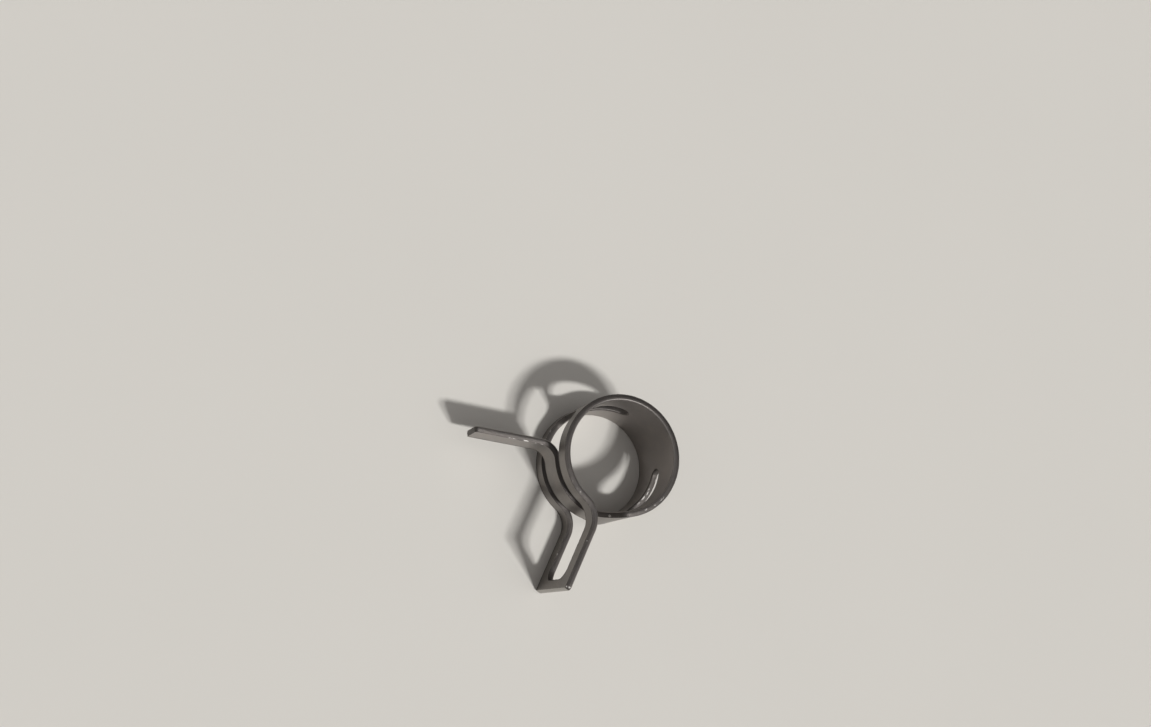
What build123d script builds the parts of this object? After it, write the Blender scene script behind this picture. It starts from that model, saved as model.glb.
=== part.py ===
"""A spring band clamp: one strip of spring steel, punched flat and folded round a hose.

The full-width band runs most of the way round the bore. At one end it narrows to a tongue, at
the other it is opened by a window that leaves two rails. The tongue lies in the window, and both
ends bend outward into ears: squeezing the ears together opens the bore. A long slot on each side
of the band's back evens out its spring.

Millimetres and degrees. +Z is the bore's axis, z = 0 the edge that the clamp stands on, and the
ears point towards -Y, one either side of it.
"""
from build123d import *

import os
from math import asin, cos, degrees, radians, sin, sqrt

# The strip
sheet = 0.85
band_width = 12.0
bore_radius = 7.5

# The window between the rails, and the tongue that lies in it
rail_width = 2.6
tongue_gap = 1.2
window_turn = 115.0
window_corner = 1.6

# The angle between the ears, and the corners at their tips
ear_spread = 72.9
ear_corner = 0.5

# The loop ear, which carries the window on: its tip from the bore's axis, the inside of its
# bend, how far its middle line passes beside the axis, and the bar that closes the window
loop_ear_reach = 19.6
loop_ear_bend = 3.2
loop_ear_aside = 0.2
loop_bar = 1.6

# The tongue ear
tongue_ear_reach = 19.75
tongue_ear_bend = 2.3
tongue_ear_aside = 0.55

# The shoulder, where the tongue widens to the whole band: its distance round from the loop ear,
# its length and the rounds at its two ends
shoulder_start = 7.0
shoulder_turn = 20.0
shoulder_round = 1.2

# The two slots: how far each starts from the middle of the band's back, its length, and the
# radius of its narrow end, next to the back, and of its wide end, next to the ears
slot_start = 36.0
slot_turn = 58.0
slot_narrow = 1.1
slot_wide = 1.8

# How far a cut runs past the sheet, and how far the loop ear's root laps over the ring
cut_clearance = 0.1
root_lap = 1.0

# What follows from those
mid_radius = bore_radius + sheet / 2
outer_radius = bore_radius + sheet
mid_height = band_width / 2
window_height = band_width - 2 * rail_width
tongue_width = window_height - 2 * tongue_gap
loop_ear_angle = -90 + ear_spread / 2
tongue_ear_angle = -90 - ear_spread / 2
window_end_angle = loop_ear_angle + 360 - window_turn
shoulder_angle = loop_ear_angle + shoulder_start + shoulder_turn / 2
shoulder_run = 2 * outer_radius * sin(radians(shoulder_turn / 2))
shoulder_end = shoulder_run / 2 + shoulder_round
ring_start = shoulder_angle - degrees(asin(shoulder_end / outer_radius))
back_angle = 90
narrow_turn = slot_start + degrees(slot_narrow / mid_radius)
wide_turn = slot_start + slot_turn - degrees(slot_wide / mid_radius)
slot_slope = asin((slot_wide - slot_narrow) / (mid_radius * radians(wide_turn - narrow_turn)))


def direction(angle):
    """The unit vector at an angle round the bore."""
    return (cos(radians(angle)), sin(radians(angle)), 0)


def bend_geometry(bend_radius, aside):
    """The angle from an ear back to the middle of its bend, and the reach where it runs straight."""
    neutral_radius = bend_radius + sheet / 2
    away = mid_radius + neutral_radius
    across = neutral_radius - aside
    return degrees(asin(across / away)), sqrt(away ** 2 - across ** 2)


def facing(angle):
    """A plane through the bore's axis that faces out at an angle, centred on the band's height."""
    return Plane.YZ.rotated((0, 0, angle)).shift_origin((0, 0, mid_height))


def carry_on(arc, bend_radius, turn, run):
    """Takes the sheet's middle line on from the ring, through a bend and then straight out."""
    bend = JernArc(arc @ 1, arc % 1, bend_radius + sheet / 2, turn)
    Line(bend @ 1, bend @ 1 + run * (bend % 1))


loop_root, loop_straight = bend_geometry(loop_ear_bend, loop_ear_aside)
tongue_root, tongue_straight = bend_geometry(tongue_ear_bend, tongue_ear_aside)
loop_arc_end = loop_ear_angle + 360 - loop_root
tongue_arc_end = tongue_ear_angle + tongue_root

# The tongue and its ear, at the middle of the band's height
with BuildPart() as tongue:
    with BuildSketch(Plane.XY.offset(mid_height - tongue_width / 2)):
        with BuildLine():
            arc = CenterArc((0, 0), mid_radius, ring_start, tongue_arc_end - ring_start)
            carry_on(arc, tongue_ear_bend, 90 - tongue_root, tongue_ear_reach - tongue_straight)
        trace(line_width=sheet)
    extrude(amount=tongue_width)
    tip = tongue.edges().filter_by(Axis((0, 0, 0), direction(tongue_ear_angle + 90)))
    tip = tip.sort_by(Axis((0, 0, 0), direction(tongue_ear_angle)))
    fillet(tip[-2:], ear_corner)

with BuildPart() as spring_clip:
    # The ring, still of full width all the way round
    with BuildSketch():
        with BuildLine():
            CenterArc((0, 0), mid_radius, ring_start, loop_arc_end - ring_start)
        trace(line_width=sheet)
    extrude(amount=band_width)

    # The shoulder: both corners of the band's end are cut away, down to the tongue's width
    with BuildSketch(facing(shoulder_angle)):
        with BuildLine():
            slope = FilletPolyline(
                (-shoulder_end - cut_clearance, tongue_width / 2),
                (-shoulder_run / 2, tongue_width / 2),
                (shoulder_run / 2, mid_height),
                (shoulder_end, mid_height),
                radius=shoulder_round,
            )
            Polyline(
                slope @ 1,
                (shoulder_end, mid_height + cut_clearance),
                (-shoulder_end - cut_clearance, mid_height + cut_clearance),
                slope @ 0,
            )
        make_face()
        mirror(about=Plane.XZ)
    extrude(amount=outer_radius + cut_clearance, mode=Mode.SUBTRACT)

    # The slots, round at both ends, with straight sides that meet the rounds smoothly
    slot_ends = ((narrow_turn, slot_narrow), (wide_turn, slot_wide))
    for way in (-1, 1):
        for turn, radius in slot_ends:
            with BuildSketch(facing(back_angle + way * turn)):
                Circle(radius)
        extrude(amount=outer_radius + cut_clearance, mode=Mode.SUBTRACT)
        for turn, radius in slot_ends:
            side_turn = turn - degrees(radius * sin(slot_slope) / mid_radius)
            with BuildSketch(Plane.XZ.rotated((0, 0, back_angle + way * side_turn))):
                with Locations((mid_radius, mid_height)):
                    Rectangle(bore_radius, 2 * radius * cos(slot_slope))
        loft(ruled=True, mode=Mode.SUBTRACT)

    # The loop ear, bent outward from the far end of the ring
    with BuildSketch():
        with BuildLine():
            root = CenterArc((0, 0), mid_radius, loop_arc_end - root_lap, root_lap)
            carry_on(root, loop_ear_bend, loop_root - 90, loop_ear_reach - loop_straight)
        trace(line_width=sheet)
    extrude(amount=band_width)

    # The window, from the far side of the ring into the loop ear
    with BuildSketch(Plane.XY.offset(rail_width)):
        with BuildLine():
            side = CenterArc((0, 0), mid_radius, window_end_angle, loop_arc_end - window_end_angle)
            carry_on(side, loop_ear_bend, loop_root - 90, loop_ear_reach - loop_bar - loop_straight)
        trace(line_width=sheet + 2 * cut_clearance)
    extrude(amount=window_height, mode=Mode.SUBTRACT)

    # Rounded corners at the ear's tip and at both ends of the window
    across_ear = spring_clip.edges().filter_by(Axis((0, 0, 0), direction(loop_ear_angle + 90)))
    across_ear = across_ear.sort_by(Axis((0, 0, 0), direction(loop_ear_angle)))
    window_end = spring_clip.edges().filter_by(Axis((0, 0, 0), direction(window_end_angle)))
    fillet(across_ear[-2:], ear_corner)
    fillet(across_ear[-4:-2] + window_end, window_corner)

    add(tongue.part)

spring_clip.part.label = "spring_clip"
os.makedirs("parts", exist_ok=True)
export_step(spring_clip.part, "parts/spring_clip.step")
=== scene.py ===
# %% [markdown]
# # A spring band clamp, folded from one punched strip
#
# A spring band clamp holds a hose on a pipe. It is one strip of spring steel: a press punches
# it out flat, rollers and dies fold it round, and a furnace hardens and blackens it. This lesson
# makes the picture of one in the same order. It sets the camera and the light, draws the flat
# strip with the edges that a press leaves, folds it round the bore, and gives it its finish.

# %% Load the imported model
from math import asin, atan2, ceil, cos, degrees, radians, sin, sqrt, tan

import bmesh
import bpy
from mathutils import Euler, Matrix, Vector, noise
from mathutils.geometry import delaunay_2d_cdt


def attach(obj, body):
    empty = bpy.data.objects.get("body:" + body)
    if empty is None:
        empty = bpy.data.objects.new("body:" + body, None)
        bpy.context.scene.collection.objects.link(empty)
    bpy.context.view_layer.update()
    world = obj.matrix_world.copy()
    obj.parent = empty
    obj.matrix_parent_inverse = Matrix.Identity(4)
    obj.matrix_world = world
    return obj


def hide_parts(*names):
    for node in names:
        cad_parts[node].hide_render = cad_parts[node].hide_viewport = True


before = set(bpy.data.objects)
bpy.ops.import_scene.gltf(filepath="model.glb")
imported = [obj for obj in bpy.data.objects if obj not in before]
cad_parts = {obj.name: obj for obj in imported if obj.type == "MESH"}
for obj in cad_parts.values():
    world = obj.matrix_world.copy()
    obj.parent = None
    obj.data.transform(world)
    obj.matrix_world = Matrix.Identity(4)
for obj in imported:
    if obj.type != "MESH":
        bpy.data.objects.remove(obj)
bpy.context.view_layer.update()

MM = 0.001

# %% [markdown]
# ## The camera
#
# The camera looks down from in front of the ears, about 25 degrees off the vertical, and close
# enough for the far side of the ring to look smaller than the near one. A camera can be aimed
# with a Track To constraint, but here its place and turn are plain numbers, because they were
# worked out together with the lens so that the ring's rims fall where the photograph has them.
# The band's width was held meanwhile, because a wider band under a longer lens looks almost the
# same from here. The shift puts the middle of the lens beside the middle of the frame, where it
# would be in a picture that was cut from a larger one.

# %% Place the camera
camera_place = Vector((-8.818, -63.619, 153.292)) * MM
camera_turn = Euler([radians(turn) for turn in (10.865, -22.195, 60.59)])

camera = bpy.data.objects.new("camera", bpy.data.cameras.new("camera"))
bpy.context.scene.collection.objects.link(camera)
camera.location = camera_place
camera.rotation_euler = camera_turn
camera.data.sensor_width = 36
camera.data.lens = 36.165
camera.data.shift_x = -0.02905
camera.data.shift_y = 0.04213
camera.data.clip_start = 0.01
bpy.context.scene.camera = camera
print("the camera stands", round(camera_place.length / MM), "mm from the bore's foot")

# %% [markdown]
# ## The floor
#
# The clamp stands on a smooth pale tabletop. A plane large enough to fill every view would do,
# with a single colour, but a real tabletop has slow changes of tone. A soft noise between two
# warm greys a shade apart gives it those.

# %% Lay the floor
def new_material(name):
    """A material with an empty node tree, its shader and its output."""
    material = bpy.data.materials.new(name)
    material.use_nodes = True
    tree = material.node_tree
    tree.nodes.clear()
    shader = tree.nodes.new("ShaderNodeBsdfPrincipled")
    output = tree.nodes.new("ShaderNodeOutputMaterial")
    tree.links.new(shader.outputs["BSDF"], output.inputs["Surface"])
    return material, tree, shader


def add_node(tree, kind, links=None, **settings):
    """A node with its own settings, whose inputs take a value or another node's output."""
    node = tree.nodes.new(kind)
    for name, value in settings.items():
        setattr(node, name, value)
    for name, value in (links or {}).items():
        if isinstance(value, bpy.types.NodeSocket):
            tree.links.new(value, node.inputs[name])
        else:
            node.inputs[name].default_value = value
    return node


def two_colours(tree, factor, low, high):
    """A colour between two others, by a factor from 0 to 1."""
    node = add_node(tree, "ShaderNodeMix", data_type="RGBA")
    tree.links.new(factor, node.inputs["Factor"])
    for name, value in (("A", low), ("B", high)):
        socket = next(s for s in node.inputs if s.name == name and s.type == "RGBA")
        if isinstance(value, bpy.types.NodeSocket):
            tree.links.new(value, socket)
        else:
            socket.default_value = (*value, 1)
    return next(s for s in node.outputs if s.type == "RGBA")


tabletop, tree, shader = new_material("tabletop")
place = add_node(tree, "ShaderNodeTexCoord").outputs["Object"]
cloudy = add_node(tree, "ShaderNodeTexNoise", {"Vector": place, "Scale": 22.0, "Detail": 2.0})
warm_grey, paler_grey = (0.622, 0.601, 0.558), (0.642, 0.620, 0.576)
colour = two_colours(tree, cloudy.outputs["Fac"], warm_grey, paler_grey)
tree.links.new(colour, shader.inputs["Base Color"])
shader.inputs["Roughness"].default_value = 0.7
shader.inputs["Specular IOR Level"].default_value = 0.1

floor_mesh = bpy.data.meshes.new("floor")
half_side = 1.5
corners = [(x * half_side, y * half_side, 0) for x, y in ((-1, -1), (1, -1), (1, 1), (-1, 1))]
floor_mesh.from_pydata(corners, [], [(0, 1, 2, 3)])
floor_mesh.materials.append(tabletop)
floor = bpy.data.objects.new("floor", floor_mesh)
bpy.context.scene.collection.objects.link(floor)
print("the floor is", 2 * half_side, "m across")

# %% [markdown]
# ## The light
#
# The shadows hint at what lit the clamp. Their edges fall in two steps on the left and right and
# in one above and below, so two narrow lamps hang side by side on the right, about 55 degrees up.
# They draw the ring's shadow with the window and the slots in it as bright patches. A broad light
# overhead softens it, and a pale wall in front, behind the camera, keeps it from going black. How
# strong each one is was tuned until the floor and the shadow came near the photograph's tones.
# Area lamps would do, but suns give every part of the scene the same direction, and their angle
# says how soft a shadow is. The rest of the room is a world that is dim overhead and pale near the
# horizon, so the steel's walls have something to mirror when they are seen from low down.

# %% Hang the lamps
def add_sun(name, travel, strength, angle):
    """A sun whose light travels in a direction, with its width on the sky in degrees."""
    sun = bpy.data.objects.new(name, bpy.data.lights.new(name, "SUN"))
    bpy.context.scene.collection.objects.link(sun)
    sun.rotation_euler = Vector(travel).to_track_quat("-Z", "Y").to_euler()
    sun.data.energy = strength
    sun.data.angle = radians(angle)
    print(name, "stands", round(90 - degrees(Vector(travel).angle((0, 0, -1)))), "degrees up")


add_sun("right lamp", (-0.674, 0.059, -1), 1.28, 4.2)
add_sun("lamp beside it", (-0.724, -0.032, -1), 1.28, 4.2)
add_sun("ceiling light", (-0.42, -0.17, -1), 0.47, 50)
add_sun("front wall", (0.20, 0.42, -1), 0.22, 60)

world = bpy.data.worlds.new("studio")
world.use_nodes = True
bpy.context.scene.world = world
tree = world.node_tree
tree.nodes.clear()
gaze = add_node(tree, "ShaderNodeTexCoord").outputs["Generated"]
height = add_node(tree, "ShaderNodeSeparateXYZ", {"Vector": gaze}).outputs["Z"]
walls_end, ceiling_starts = 0.12, 0.38
above = add_node(
    tree, "ShaderNodeMapRange",
    {"Value": height, "From Min": walls_end, "From Max": ceiling_starts},
).outputs["Result"]
pale_walls, dim_ceiling = (0.45, 0.435, 0.41), (0.115, 0.109, 0.110)
room = two_colours(tree, above, pale_walls, dim_ceiling)
sky = add_node(tree, "ShaderNodeBackground", {"Color": room})
add_node(tree, "ShaderNodeOutputWorld", {"Surface": sky.outputs["Background"]})
bpy.context.scene.view_settings.view_transform = "Standard"
print("the world has", len(tree.nodes), "nodes")

# %% [markdown]
# ## The strip's sizes
#
# All of the clamp's shape is in a few sizes, in millimetres and degrees, and they are those that
# the CAD model was built with. The band is 12 mm wide and 0.85 mm thick and runs round a bore of
# 15 mm. The tongue at one end lies in a window near the other end, and both ends bend out into
# ears. Angles go round the bore from +X, and the ears point towards -Y.

# %% Name the sizes
sheet = 0.85
band_width = 12.0
bore_radius = 7.5
rail_width = 2.6
tongue_width = 4.4
mid_radius = bore_radius + sheet / 2
mid_height = band_width / 2
back_angle = 90

loop_ear_angle = -53.55
loop_ear_reach, loop_ear_bend, loop_ear_aside = 19.6, 3.2, 0.2
tongue_ear_angle = -126.45
tongue_ear_reach, tongue_ear_bend, tongue_ear_aside = 19.75, 2.3, 0.55
ear_corner = 0.5
loop_bar = 1.6
window_turn, window_corner = 115.0, 1.6
shoulder_start, shoulder_turn, shoulder_round = 7.0, 20.0, 1.2
slot_start, slot_turn, slot_narrow, slot_wide = 36.0, 58.0, 1.1, 1.8
print("the bore is", 2 * bore_radius, "mm across")
print("the ears are", round(loop_ear_angle - tongue_ear_angle, 1), "degrees apart")

# %% [markdown]
# ## Folding
#
# The strip is drawn flat and then folded, as the real one is. That keeps the holes, the edges
# and the grain of the steel in step with each other, which a model carved out of a ring can't
# do. Blender has bend modifiers, but this path has a ring, a bend and a straight at each end,
# so a function folds each point: how far along the strip it is, measured from the middle of the
# band's back, says where on the path it goes, and its depth in the sheet moves it square to the
# path. Depth counts from the sheet's middle, outward positive.

# %% Fold a point of the strip
def direction(angle):
    """The unit vector at an angle in degrees."""
    return Vector((cos(radians(angle)), sin(radians(angle)), 0))


class End:
    """One end of the strip: the bend that leaves the ring, and the straight ear."""

    def __init__(self, ear_angle, reach, bend, aside, way):
        self.way = way
        self.bend = bend + sheet / 2
        away = mid_radius + self.bend
        across = self.bend - aside
        root = degrees(asin(across / away))
        self.start_angle = ear_angle - way * root
        self.turn = 90 - root
        self.centre = direction(self.start_angle) * away
        self.bend_length = self.bend * radians(self.turn)
        self.straight = reach - sqrt(away ** 2 - across ** 2)
        turned = way * (ear_angle + (360 if way > 0 else 0) - way * root - back_angle)
        self.ring_length = mid_radius * radians(turned)
        self.length = self.ring_length + self.bend_length + self.straight

    def fold(self, past, depth):
        """A point of the bend or the ear, by how far past the ring it is."""
        turn = min(degrees(past / self.bend), self.turn)
        from_centre = direction(self.start_angle + 180 - self.way * turn)
        out = direction(self.start_angle + self.way * (90 - turn))
        run = max(past - self.bend_length, 0)
        return self.centre + from_centre * (self.bend - depth) + out * run


loop_end = End(loop_ear_angle, loop_ear_reach, loop_ear_bend, loop_ear_aside, 1)
tongue_end = End(tongue_ear_angle, tongue_ear_reach, tongue_ear_bend, tongue_ear_aside, -1)


def fold(along, across, depth):
    """Where a point of the flat strip goes on the clamp, in millimetres."""
    end = loop_end if along > 0 else tongue_end
    past = abs(along) - end.ring_length
    if past > 0:
        place = end.fold(past, depth)
    else:
        place = direction(back_angle + degrees(along / mid_radius)) * (mid_radius + depth)
    return Vector((place.x, place.y, across))


print("the flat strip is", round(loop_end.length + tongue_end.length, 1), "mm long")

# %% [markdown]
# ## The outline of the blank
#
# The press cuts four outlines: the outside of the strip, with the shoulder where it narrows to
# the tongue, the window, and two slots that taper towards the band's back. They are closed lines
# of points about 0.16 mm apart. A curve object with fillets could give them too, but plain points
# are easier to move inward for the edge that comes next. Each outline runs with the steel on its
# left, so the holes run the other way round.

# %% Draw the outlines
pitch = 0.16
fewest_steps = 6


def arc(centre, radius, start, turn):
    """Points on an arc, its two ends among them."""
    steps = max(ceil(abs(radians(turn)) * radius / pitch), fewest_steps)
    angles = [start + turn * step / steps for step in range(steps + 1)]
    return [Vector(centre) + direction(angle).xy * radius for angle in angles]


def rounded(corners):
    """A closed line through corners (along, across, radius), each rounded by its radius."""
    line = []
    for index, (x, y, radius) in enumerate(corners):
        corner = Vector((x, y))
        before = (corner - Vector(corners[index - 1][:2])).normalized()
        after = (Vector(corners[(index + 1) % len(corners)][:2]) - corner).normalized()
        turn = -before.angle_signed(after)
        inward = Vector((-before.y, before.x)) * (1 if turn > 0 else -1)
        centre = corner - before * radius * abs(tan(turn / 2)) + inward * radius
        start = degrees(atan2(-inward.y, -inward.x))
        line += arc(centre, radius, start, degrees(turn))
    return line


def fill_in(line):
    """The same closed line, with its long runs divided at the pitch."""
    filled = []
    for index, point in enumerate(line):
        start = line[index - 1]
        steps = max(round((point - start).length / pitch), 1)
        filled += [start.lerp(point, step / steps) for step in range(1, steps + 1)]
    return filled


def along_ring(angle):
    """How far along the strip an angle of the ring is."""
    return mid_radius * radians(angle - back_angle)


shoulder_middle = along_ring(loop_ear_angle + shoulder_start + shoulder_turn / 2)
shoulder_half = mid_radius * radians(shoulder_turn / 2)
tongue_low = mid_height - tongue_width / 2
tongue_high = mid_height + tongue_width / 2
narrow, full = shoulder_middle - shoulder_half, shoulder_middle + shoulder_half
outside = rounded([
    (-tongue_end.length, tongue_low, ear_corner),
    (narrow, tongue_low, shoulder_round),
    (full, 0, shoulder_round),
    (loop_end.length, 0, ear_corner),
    (loop_end.length, band_width, ear_corner),
    (full, band_width, shoulder_round),
    (narrow, tongue_high, shoulder_round),
    (-tongue_end.length, tongue_high, ear_corner),
])

window_start = along_ring(loop_ear_angle + 360 - window_turn)
window_stop = loop_end.length - loop_bar
window_top = band_width - rail_width
window = rounded([
    (window_start, rail_width, window_corner),
    (window_start, window_top, window_corner),
    (window_stop, window_top, window_corner),
    (window_stop, rail_width, window_corner),
])


def slot(way):
    """A slot on one side of the back: two rounds joined by straight sides."""
    near = mid_radius * radians(slot_start) + slot_narrow
    far = mid_radius * radians(slot_start + slot_turn) - slot_wide
    slope = degrees(asin((slot_wide - slot_narrow) / (far - near)))
    wide = arc((far, mid_height), slot_wide, 90 + slope, -180 - 2 * slope)
    thin = arc((near, mid_height), slot_narrow, -90 - slope, -180 + 2 * slope)
    line = wide + thin
    if way < 0:
        line = [Vector((-point.x, point.y)) for point in reversed(line)]
    return line


outlines = [fill_in(line) for line in (outside, window, slot(1), slot(-1))]
print("the outlines have", [len(line) for line in outlines], "points")

# %% [markdown]
# ## The edge that a press leaves
#
# A punched edge isn't square. The punch first draws the skin down into a soft round, then cuts a
# smooth bright band, and the rest tears, which leaves a rough slope and a fine sharp burr. The
# photograph is too coarse to measure them, so their sizes here are guesses, and the round is put
# towards the hose, which a burr would cut. A bevel modifier would make both sides alike, so each
# outline is repeated at several depths instead, moved into the steel by what the edge has lost
# there. Smooth noise makes the tear and the burr uneven.

# %% Write the edge's profile
burr_height, burr_room = 0.02, 0.03
burr_side = sheet / 2 - burr_room
roll_depth, roll_width = 0.2, 0.22
roll_steps, torn_steps = 6, 2

# Depth in the sheet, how far the edge has moved into the steel, how uneven it is there, and how
# much of the strip's skin it keeps
profile = [
    (burr_side, 0.22, 0.0, 0.0),
    (burr_side + 0.004, 0.15, 0.3, 0.0),
    (burr_side + burr_height, 0.115, 1.0, 0.0),
    (burr_side - 0.02, 0.115, 1.0, 0.0),
    (0.30, 0.09, 1.0, 0.0),
    (0.20, 0.06, 1.0, 0.0),
    (0.10, 0.03, 0.8, 0.0),
    (0.02, 0.008, 0.4, 0.0),
    (-0.04, 0.0, 0.0, 0.0),
    (-0.13, 0.0, 0.0, 0.0),
]
# The round comes last, and shows its skin in full after its torn steps
for step in range(roll_steps + 1):
    angle = radians(90 * step / roll_steps)
    depth = -sheet / 2 + roll_depth * (1 - sin(angle))
    profile.append((depth, roll_width * (1 - cos(angle)), 0.0, min(step / torn_steps, 1)))
print("the edge has", len(profile), "levels")


# %% Move an outline into the steel
# How deep the tear's slow and quick waves are and how long, how many layers of noise lie between
# them, and how far apart the layers are
slow_depth, slow_reach = 0.03, 0.45
quick_depth, quick_reach, quick_layer = 0.02, 0.2, 9
layer_gap = 7.3


def ragged(point, level, reach):
    """A smooth random number, about -1 to 1, that changes over a reach along an edge."""
    return noise.noise(Vector((point.x / reach, point.y / reach, level * layer_gap)))


def moved_in(line, inset, uneven, level):
    """An outline moved to its left by an inset that wavers where the edge is torn."""
    moved = []
    for index, point in enumerate(line):
        ahead = (line[(index + 1) % len(line)] - line[index - 1]).normalized()
        left = Vector((-ahead.y, ahead.x))
        slow = slow_depth * ragged(point, level, slow_reach)
        quick = quick_depth * ragged(point, level + quick_layer, quick_reach)
        moved.append(point + left * max(inset + (slow + quick) * uneven, 0))
    return moved


print("the tear wavers by up to", slow_depth + quick_depth, "mm")

# %% [markdown]
# ## Painted glints
#
# The photograph has small glints on the clamp's edges: on the tongue ear, on the ring's rim, along
# one slot and at a corner of the loop ear. They are painted in as light flecks of a bare-metal
# colour. Noise could scatter such flecks, but not where this clamp has them, so each is written
# down as a place on the flat strip with a size, and every point of an edge keeps how much painted
# glint it carries. There are more glints in the photograph than the ones that are written down.

# %% List the flecks
# Along and across the strip, depth in the sheet, how long the fleck is, and how wide
painted_glints = [
    (-36.42, 8.10, 0.42, 0.45, 0.17), (-35.74, 8.08, 0.42, 0.30, 0.16),
    (-34.20, 8.08, 0.36, 0.60, 0.15), (-32.80, 8.00, 0.40, 0.22, 0.16),
    (-31.86, 8.00, 0.40, 0.32, 0.16), (-17.60, 9.85, 0.18, 0.90, 0.26),
    (-13.11, 12.00, -0.04, 0.30, 0.15), (-11.67, 12.00, 0.10, 0.22, 0.14),
    (-10.30, 12.00, 0.10, 0.65, 0.15), (-10.25, 4.32, -0.12, 0.55, 0.14),
    (-9.20, 4.46, -0.12, 0.65, 0.16), (-8.30, 4.58, 0.00, 0.50, 0.14),
    (-7.70, 4.62, -0.12, 0.30, 0.14), (-6.23, 4.75, 0.40, 0.35, 0.20),
    (16.50, 2.50, 0.40, 0.20, 0.18), (26.45, 12.00, 0.10, 0.20, 0.20),
    (33.82, 12.00, 0.20, 0.20, 0.16), (35.20, 2.50, 0.40, 0.25, 0.18),
    (40.43, 11.90, 0.30, 0.20, 0.20), (40.35, 12.00, -0.10, 0.20, 0.22),
]


def glint_share_at(along, across, depth):
    """How much painted glint a point of the edge carries: 1 in the inner half of a fleck, 0 outside
    them all.
    """
    glint_share = 0.0
    for x, y, z, length, width in painted_glints:
        beside = ((across - y) ** 2 + (depth - z) ** 2) / width ** 2
        gap = sqrt(((along - x) / length) ** 2 + beside)
        glint_share = max(glint_share, min(2 * (1 - gap), 1))
    return glint_share


print("there are", len(painted_glints), "painted_glints")

# %% [markdown]
# ## The strip's two faces
#
# The faces between the edges need points of their own, close enough together to follow the
# ring when the strip is folded. Filling each face with one big polygon and cutting it across
# would do, but leaves thin slivers that shade badly. A Delaunay triangulation joins a staggered
# grid of points to the outlines with well-shaped triangles. It also says which outlines have a
# triangle on their left, and the steel is what lies on the left of them all.

# %% Fill a face
grid_pitch = 0.34
same_point = 1e-5


def fill_face(lines):
    """Triangles between an outside line and the holes in it: their points and corners."""
    points, loops = [], []
    for line in lines:
        loops.append(list(range(len(points), len(points) + len(line))))
        points += line
    low = min(point.x for point in lines[0])
    high = max(point.x for point in lines[0])
    # A grid point that lies in or beside a cell with an outline's point in it is left out
    cell = 0.6 * grid_pitch
    taken = set()
    for point in points:
        column, row = round(point.x / cell), round(point.y / cell)
        taken |= {(column + i, row + j) for i in (-1, 0, 1) for j in (-1, 0, 1)}
    row = 0
    y = grid_pitch
    while y < band_width:
        x = low + grid_pitch * (1 if row % 2 else 0.5)
        while x < high:
            if (round(x / cell), round(y / cell)) not in taken:
                points.append(Vector((x, y)))
            x += grid_pitch
        y += grid_pitch * sqrt(3) / 2
        row += 1
    found, _, made, _, _, lefts = delaunay_2d_cdt(points, [], loops, 0, same_point)
    return found, [corners for corners, left in zip(made, lefts) if len(left) == len(lines)]


print("a face is filled with points", grid_pitch, "mm apart")

# %% [markdown]
# ## The folded strip
#
# Now the parts meet: bands of quads run round each outline from one face to the other, and the
# triangles close the two faces. Every point is folded as it is stored. Its place on the flat
# strip is stored too, as an attribute and as a UV map, so that the finish can follow the steel's
# grain round the bends. The edge gets a material of its own, and its points keep how much of the
# skin shows. That follows how bright each edge is in the photograph: most on the outside, less in
# the window and hardly in the slots. The points also keep how much painted glint they carry, and
# the tip of the loop ear is painted the lightest, though the photograph doesn't say why.

# %% Build the mesh
points, faces, edge_flags = [], [], []
edge_states = {}
# How much of the skin shows on the outside, in the window and in each slot
skin_shares = (1.0, 0.7, 0.15, 0.15)
tip_start = loop_end.length - 0.05
burr_wave, burr_reach, burr_layer = 0.45 * burr_height, 0.3, 3
outline_layers = 20

face_lines = {0: [], len(profile) - 1: []}
for number, line in enumerate(outlines):
    firsts = []
    for level, (depth, inset, uneven, skin) in enumerate(profile):
        ring = moved_in(line, inset, uneven, level + outline_layers * number)
        if level in face_lines:
            face_lines[level].append(ring)
        wave = burr_wave if depth > burr_side + burr_height / 2 else 0
        firsts.append(len(points))
        for before, point in zip(line, ring):
            # Points at the loop ear's tip are marked to be painted lighter
            lightened_tip = 1 if before.x > tip_start else 0
            edge_states[len(points)] = (skin * skin_shares[number], lightened_tip)
            lift = wave * ragged(point, burr_layer + number, burr_reach)
            points.append((point.x, point.y, depth + lift))
    count = len(line)
    for upper, lower in zip(firsts, firsts[1:]):
        for index in range(count):
            after = (index + 1) % count
            faces.append((upper + index, lower + index, lower + after, upper + after))
            edge_flags.append(1)

for level, lines in face_lines.items():
    found, triangles = fill_face(lines)
    first, depth = len(points), profile[level][0]
    points += [(point.x, point.y, depth) for point in found]
    for a, b, c in triangles:
        turn = (found[b] - found[a]).cross(found[c] - found[a])
        corners = (a, b, c) if (turn > 0) == (level == 0) else (a, c, b)
        faces.append(tuple(first + corner for corner in corners))
        edge_flags.append(0)
print("the strip has", len(points), "points and", len(faces), "faces")


# %% Fold it and store where each point came from
uv_per_mm = 0.01
weld_distance = 1e-7

mesh = bpy.data.meshes.new("folded_strip")
mesh.from_pydata([fold(*point) * MM for point in points], [], faces)
mesh.polygons.foreach_set("use_smooth", [True] * len(faces))
mesh.polygons.foreach_set("material_index", edge_flags)

strip_place = mesh.attributes.new("strip_place", "FLOAT_VECTOR", "POINT")
strip_place.data.foreach_set("vector", [value for point in points for value in point])
edge_state = mesh.attributes.new("edge_state", "FLOAT_VECTOR", "POINT")
for index, point in enumerate(points):
    skin, lightened_tip = edge_states.get(index, (0, 0))
    edge_state.data[index].vector = (skin, lightened_tip, glint_share_at(*point))
strip_map = mesh.uv_layers.new(name="strip_map")
corner_points = [points[loop.vertex_index] for loop in mesh.loops]
flat_places = [value * uv_per_mm for point in corner_points for value in point[:2]]
strip_map.uv.foreach_set("vector", flat_places)

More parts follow.
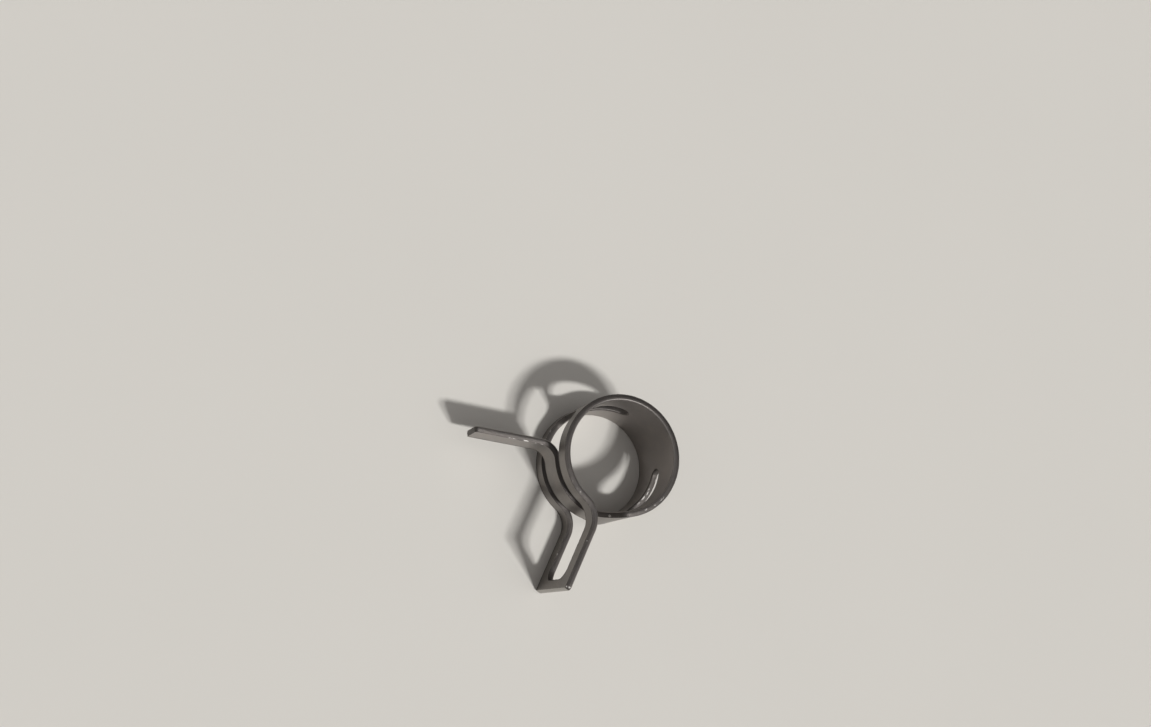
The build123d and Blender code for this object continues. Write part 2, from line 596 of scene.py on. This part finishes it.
shaper = bmesh.new()
shaper.from_mesh(mesh)
bmesh.ops.remove_doubles(shaper, verts=shaper.verts, dist=weld_distance)
open_edges = sum(1 for edge in shaper.edges if not edge.is_manifold)
shaper.to_mesh(mesh)
shaper.free()
strip = bpy.data.objects.new("folded_strip", mesh)
bpy.context.scene.collection.objects.link(strip)
print("the clamp has", len(mesh.polygons), "faces and", open_edges, "open edges")

# %% [markdown]
# ## The steel's grain
#
# Rolled strip has fine lines along its length, and its blackening is a little uneven. The faces
# and the edge share that unevenness, so it is made once, as a node group, and each material
# places it with its own scales. It reads each point's place on the flat strip. Noise stretched
# some thirty times along the strip gives the lines, wide soft noise gives the tone, and fine
# noise stretched a little gives the speckle.

# %% Make the grain group
grain = bpy.data.node_groups.new("rolled grain", "ShaderNodeTree")
for name in ("Line Scale", "Speckle Scale"):
    grain.interface.new_socket(name, in_out="INPUT", socket_type="NodeSocketFloat")
for name in ("Lines", "Tone", "Speckle"):
    grain.interface.new_socket(name, in_out="OUTPUT", socket_type="NodeSocketFloat")
group_in = grain.nodes.new("NodeGroupInput")
group_out = grain.nodes.new("NodeGroupOutput")
place = add_node(grain, "ShaderNodeAttribute", attribute_name="strip_place").outputs["Vector"]
line_share, speckle_share = 0.03, 0.3
stretched, drawn = (
    add_node(
        grain, "ShaderNodeVectorMath", {0: place, 1: (share, 1.0, 1.0)}, operation="MULTIPLY"
    ).outputs["Vector"]
    for share in (line_share, speckle_share)
)
lines = add_node(
    grain, "ShaderNodeTexNoise",
    {"Vector": stretched, "Scale": group_in.outputs["Line Scale"], "Detail": 3.0, "Roughness": 0.6},
)
tone = add_node(
    grain, "ShaderNodeTexNoise", {"Vector": place, "Scale": 0.35, "Detail": 3.0, "Roughness": 0.55}
)
speckle = add_node(
    grain, "ShaderNodeTexNoise",
    {"Vector": drawn, "Scale": group_in.outputs["Speckle Scale"], "Detail": 2.0, "Roughness": 0.5},
)
for name, source in (("Lines", lines), ("Tone", tone), ("Speckle", speckle)):
    grain.links.new(source.outputs["Fac"], group_out.inputs[name])
print("the grain group has", len(grain.nodes), "nodes")

# %% [markdown]
# ## The blackened face
#
# Heat and oil leave a thin dark oxide on hardened steel, a little brown where it is thinner. It
# is satin rather than bright: the faces blur what they mirror. In the photograph the side towards
# the hose and the flat of the tongue ear are lighter than the rest. Their one lighter colour is
# painted light: it lifts the shaded walls of the bore, and on the tongue ear's flat it is a painted
# reflection of the lit floor. Tools that polish the strip there would explain it, but that is a
# guess, so one lighter colour serves for both. Each point's place on the flat strip says how far
# along it is, and its depth in the sheet which side it is on.

# %% Make the face's material
def add_grain(tree, scales):
    """Places the grain group in a material, with its own scales."""
    return add_node(tree, "ShaderNodeGroup", scales, node_tree=grain)


def spread(tree, value, low, high, start=0.3, stop=0.7):
    """A value stretched over a range: noise, which stays near 0.5, unless told otherwise."""
    return add_node(
        tree, "ShaderNodeMapRange",
        {"Value": value, "From Min": start, "From Max": stop, "To Min": low, "To Max": high},
    ).outputs["Result"]


blackened, tree, shader = new_material("blackened steel face")
grains = add_grain(tree, {"Line Scale": 9.0, "Speckle Scale": 12.0})
place = add_node(tree, "ShaderNodeAttribute", attribute_name="strip_place").outputs["Vector"]
place = add_node(tree, "ShaderNodeSeparateXYZ", {"Vector": place})
along, depth = place.outputs["X"], place.outputs["Z"]
tone = spread(tree, grains.outputs["Tone"], 0, 1)
# The hose side's lighter colour is painted light that lifts the shaded walls of the bore
hose_side_painted_light = two_colours(tree, tone, (0.300, 0.278, 0.266), (0.340, 0.308, 0.290))
outer_side = two_colours(tree, tone, (0.205, 0.190, 0.180), (0.245, 0.222, 0.204))
# The tongue ear's flat takes the lighter colour: a painted reflection of the lit floor
ear_flat, ear_bend = -33, -31
ear_flat_painted_light = spread(tree, along, 1, 0, ear_flat, ear_bend)
outer_side = two_colours(tree, ear_flat_painted_light, outer_side, hose_side_painted_light)
outward = spread(tree, depth, 0, 1, -0.1, 0.1)
colour = two_colours(tree, outward, hose_side_painted_light, outer_side)
tree.links.new(colour, shader.inputs["Base Color"])
rough = spread(tree, grains.outputs["Speckle"], 0.36, 0.46)
tree.links.new(rough, shader.inputs["Roughness"])
relief = add_node(
    tree, "ShaderNodeBump",
    {"Height": grains.outputs["Lines"], "Strength": 0.25, "Distance": 0.02 * MM},
)
tree.links.new(relief.outputs["Normal"], shader.inputs["Normal"])
shader.inputs["Metallic"].default_value = 0.85
print("the face's material has", len(tree.nodes), "nodes")

# %% [markdown]
# ## The sheared edge
#
# The edge is the same steel, with the marks of the press still under the black. Its round is the
# strip's own skin, drawn down by the punch, so it shines like the face. The rest is torn, grainy
# and darker, as a rough surface would be that holds more of the oxide and oil. Painted glints,
# flecks of a light bare-metal colour, sit where the clamp glints, and the tip of the loop ear is
# painted lighter.

# %% Make the edge's material
sheared, tree, shader = new_material("sheared steel edge")
grains = add_grain(tree, {"Speckle Scale": 12.0})
place = add_node(tree, "ShaderNodeAttribute", attribute_name="strip_place").outputs["Vector"]
state = add_node(tree, "ShaderNodeAttribute", attribute_name="edge_state").outputs["Vector"]
state = add_node(tree, "ShaderNodeSeparateXYZ", {"Vector": state})
skin, lightened_tip, glint_share = (state.outputs[axis] for axis in "XYZ")
tone = spread(tree, grains.outputs["Tone"], 0, 1)
torn_colour = two_colours(tree, tone, (0.078, 0.071, 0.067), (0.098, 0.087, 0.079))
colour = two_colours(tree, skin, torn_colour, (0.270, 0.250, 0.236))
# The loop ear's tip is painted lighter
colour = two_colours(tree, lightened_tip, colour, (0.430, 0.412, 0.385))
# Painted glints: flecks of a light bare-metal colour where the clamp glints, broken up by speckle
glint_weight, glint_start, glint_full = 0.4, 0.68, 1.05
painted_glint = add_node(
    tree, "ShaderNodeMath", {0: glint_share, 1: glint_weight, 2: grains.outputs["Speckle"]},
    operation="MULTIPLY_ADD",
).outputs[0]
painted_glint = spread(tree, painted_glint, 0, 1, glint_start, glint_full)
colour = two_colours(tree, painted_glint, colour, (0.56, 0.54, 0.51))
tree.links.new(colour, shader.inputs["Base Color"])
rough = spread(tree, skin, 0.50, 0.35, 0, 1)
tree.links.new(rough, shader.inputs["Roughness"])
grit = add_node(
    tree, "ShaderNodeTexNoise", {"Vector": place, "Scale": 9.0, "Detail": 4.0, "Roughness": 0.7}
).outputs["Fac"]
torn = add_node(tree, "ShaderNodeMath", {0: 1.0, 1: skin}, operation="SUBTRACT").outputs[0]
grit = add_node(tree, "ShaderNodeMath", {0: grit, 1: torn}, operation="MULTIPLY").outputs[0]
relief = add_node(
    tree, "ShaderNodeBump", {"Height": grit, "Strength": 0.6, "Distance": 0.06 * MM}
)
tree.links.new(relief.outputs["Normal"], shader.inputs["Normal"])
shader.inputs["Metallic"].default_value = 0.8
print("the edge's material has", len(tree.nodes), "nodes")

# %% [markdown]
# ## In place of the CAD part
#
# The folded strip stands for the CAD model's one part. It is in place already, because it was
# folded from the same sizes. It moves with its body.

# %% Put the strip in the CAD part's place
mesh.materials.append(blackened)
mesh.materials.append(sheared)
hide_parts("spring_clip")
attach(strip, "root")
print("the strip replaces spring_clip")
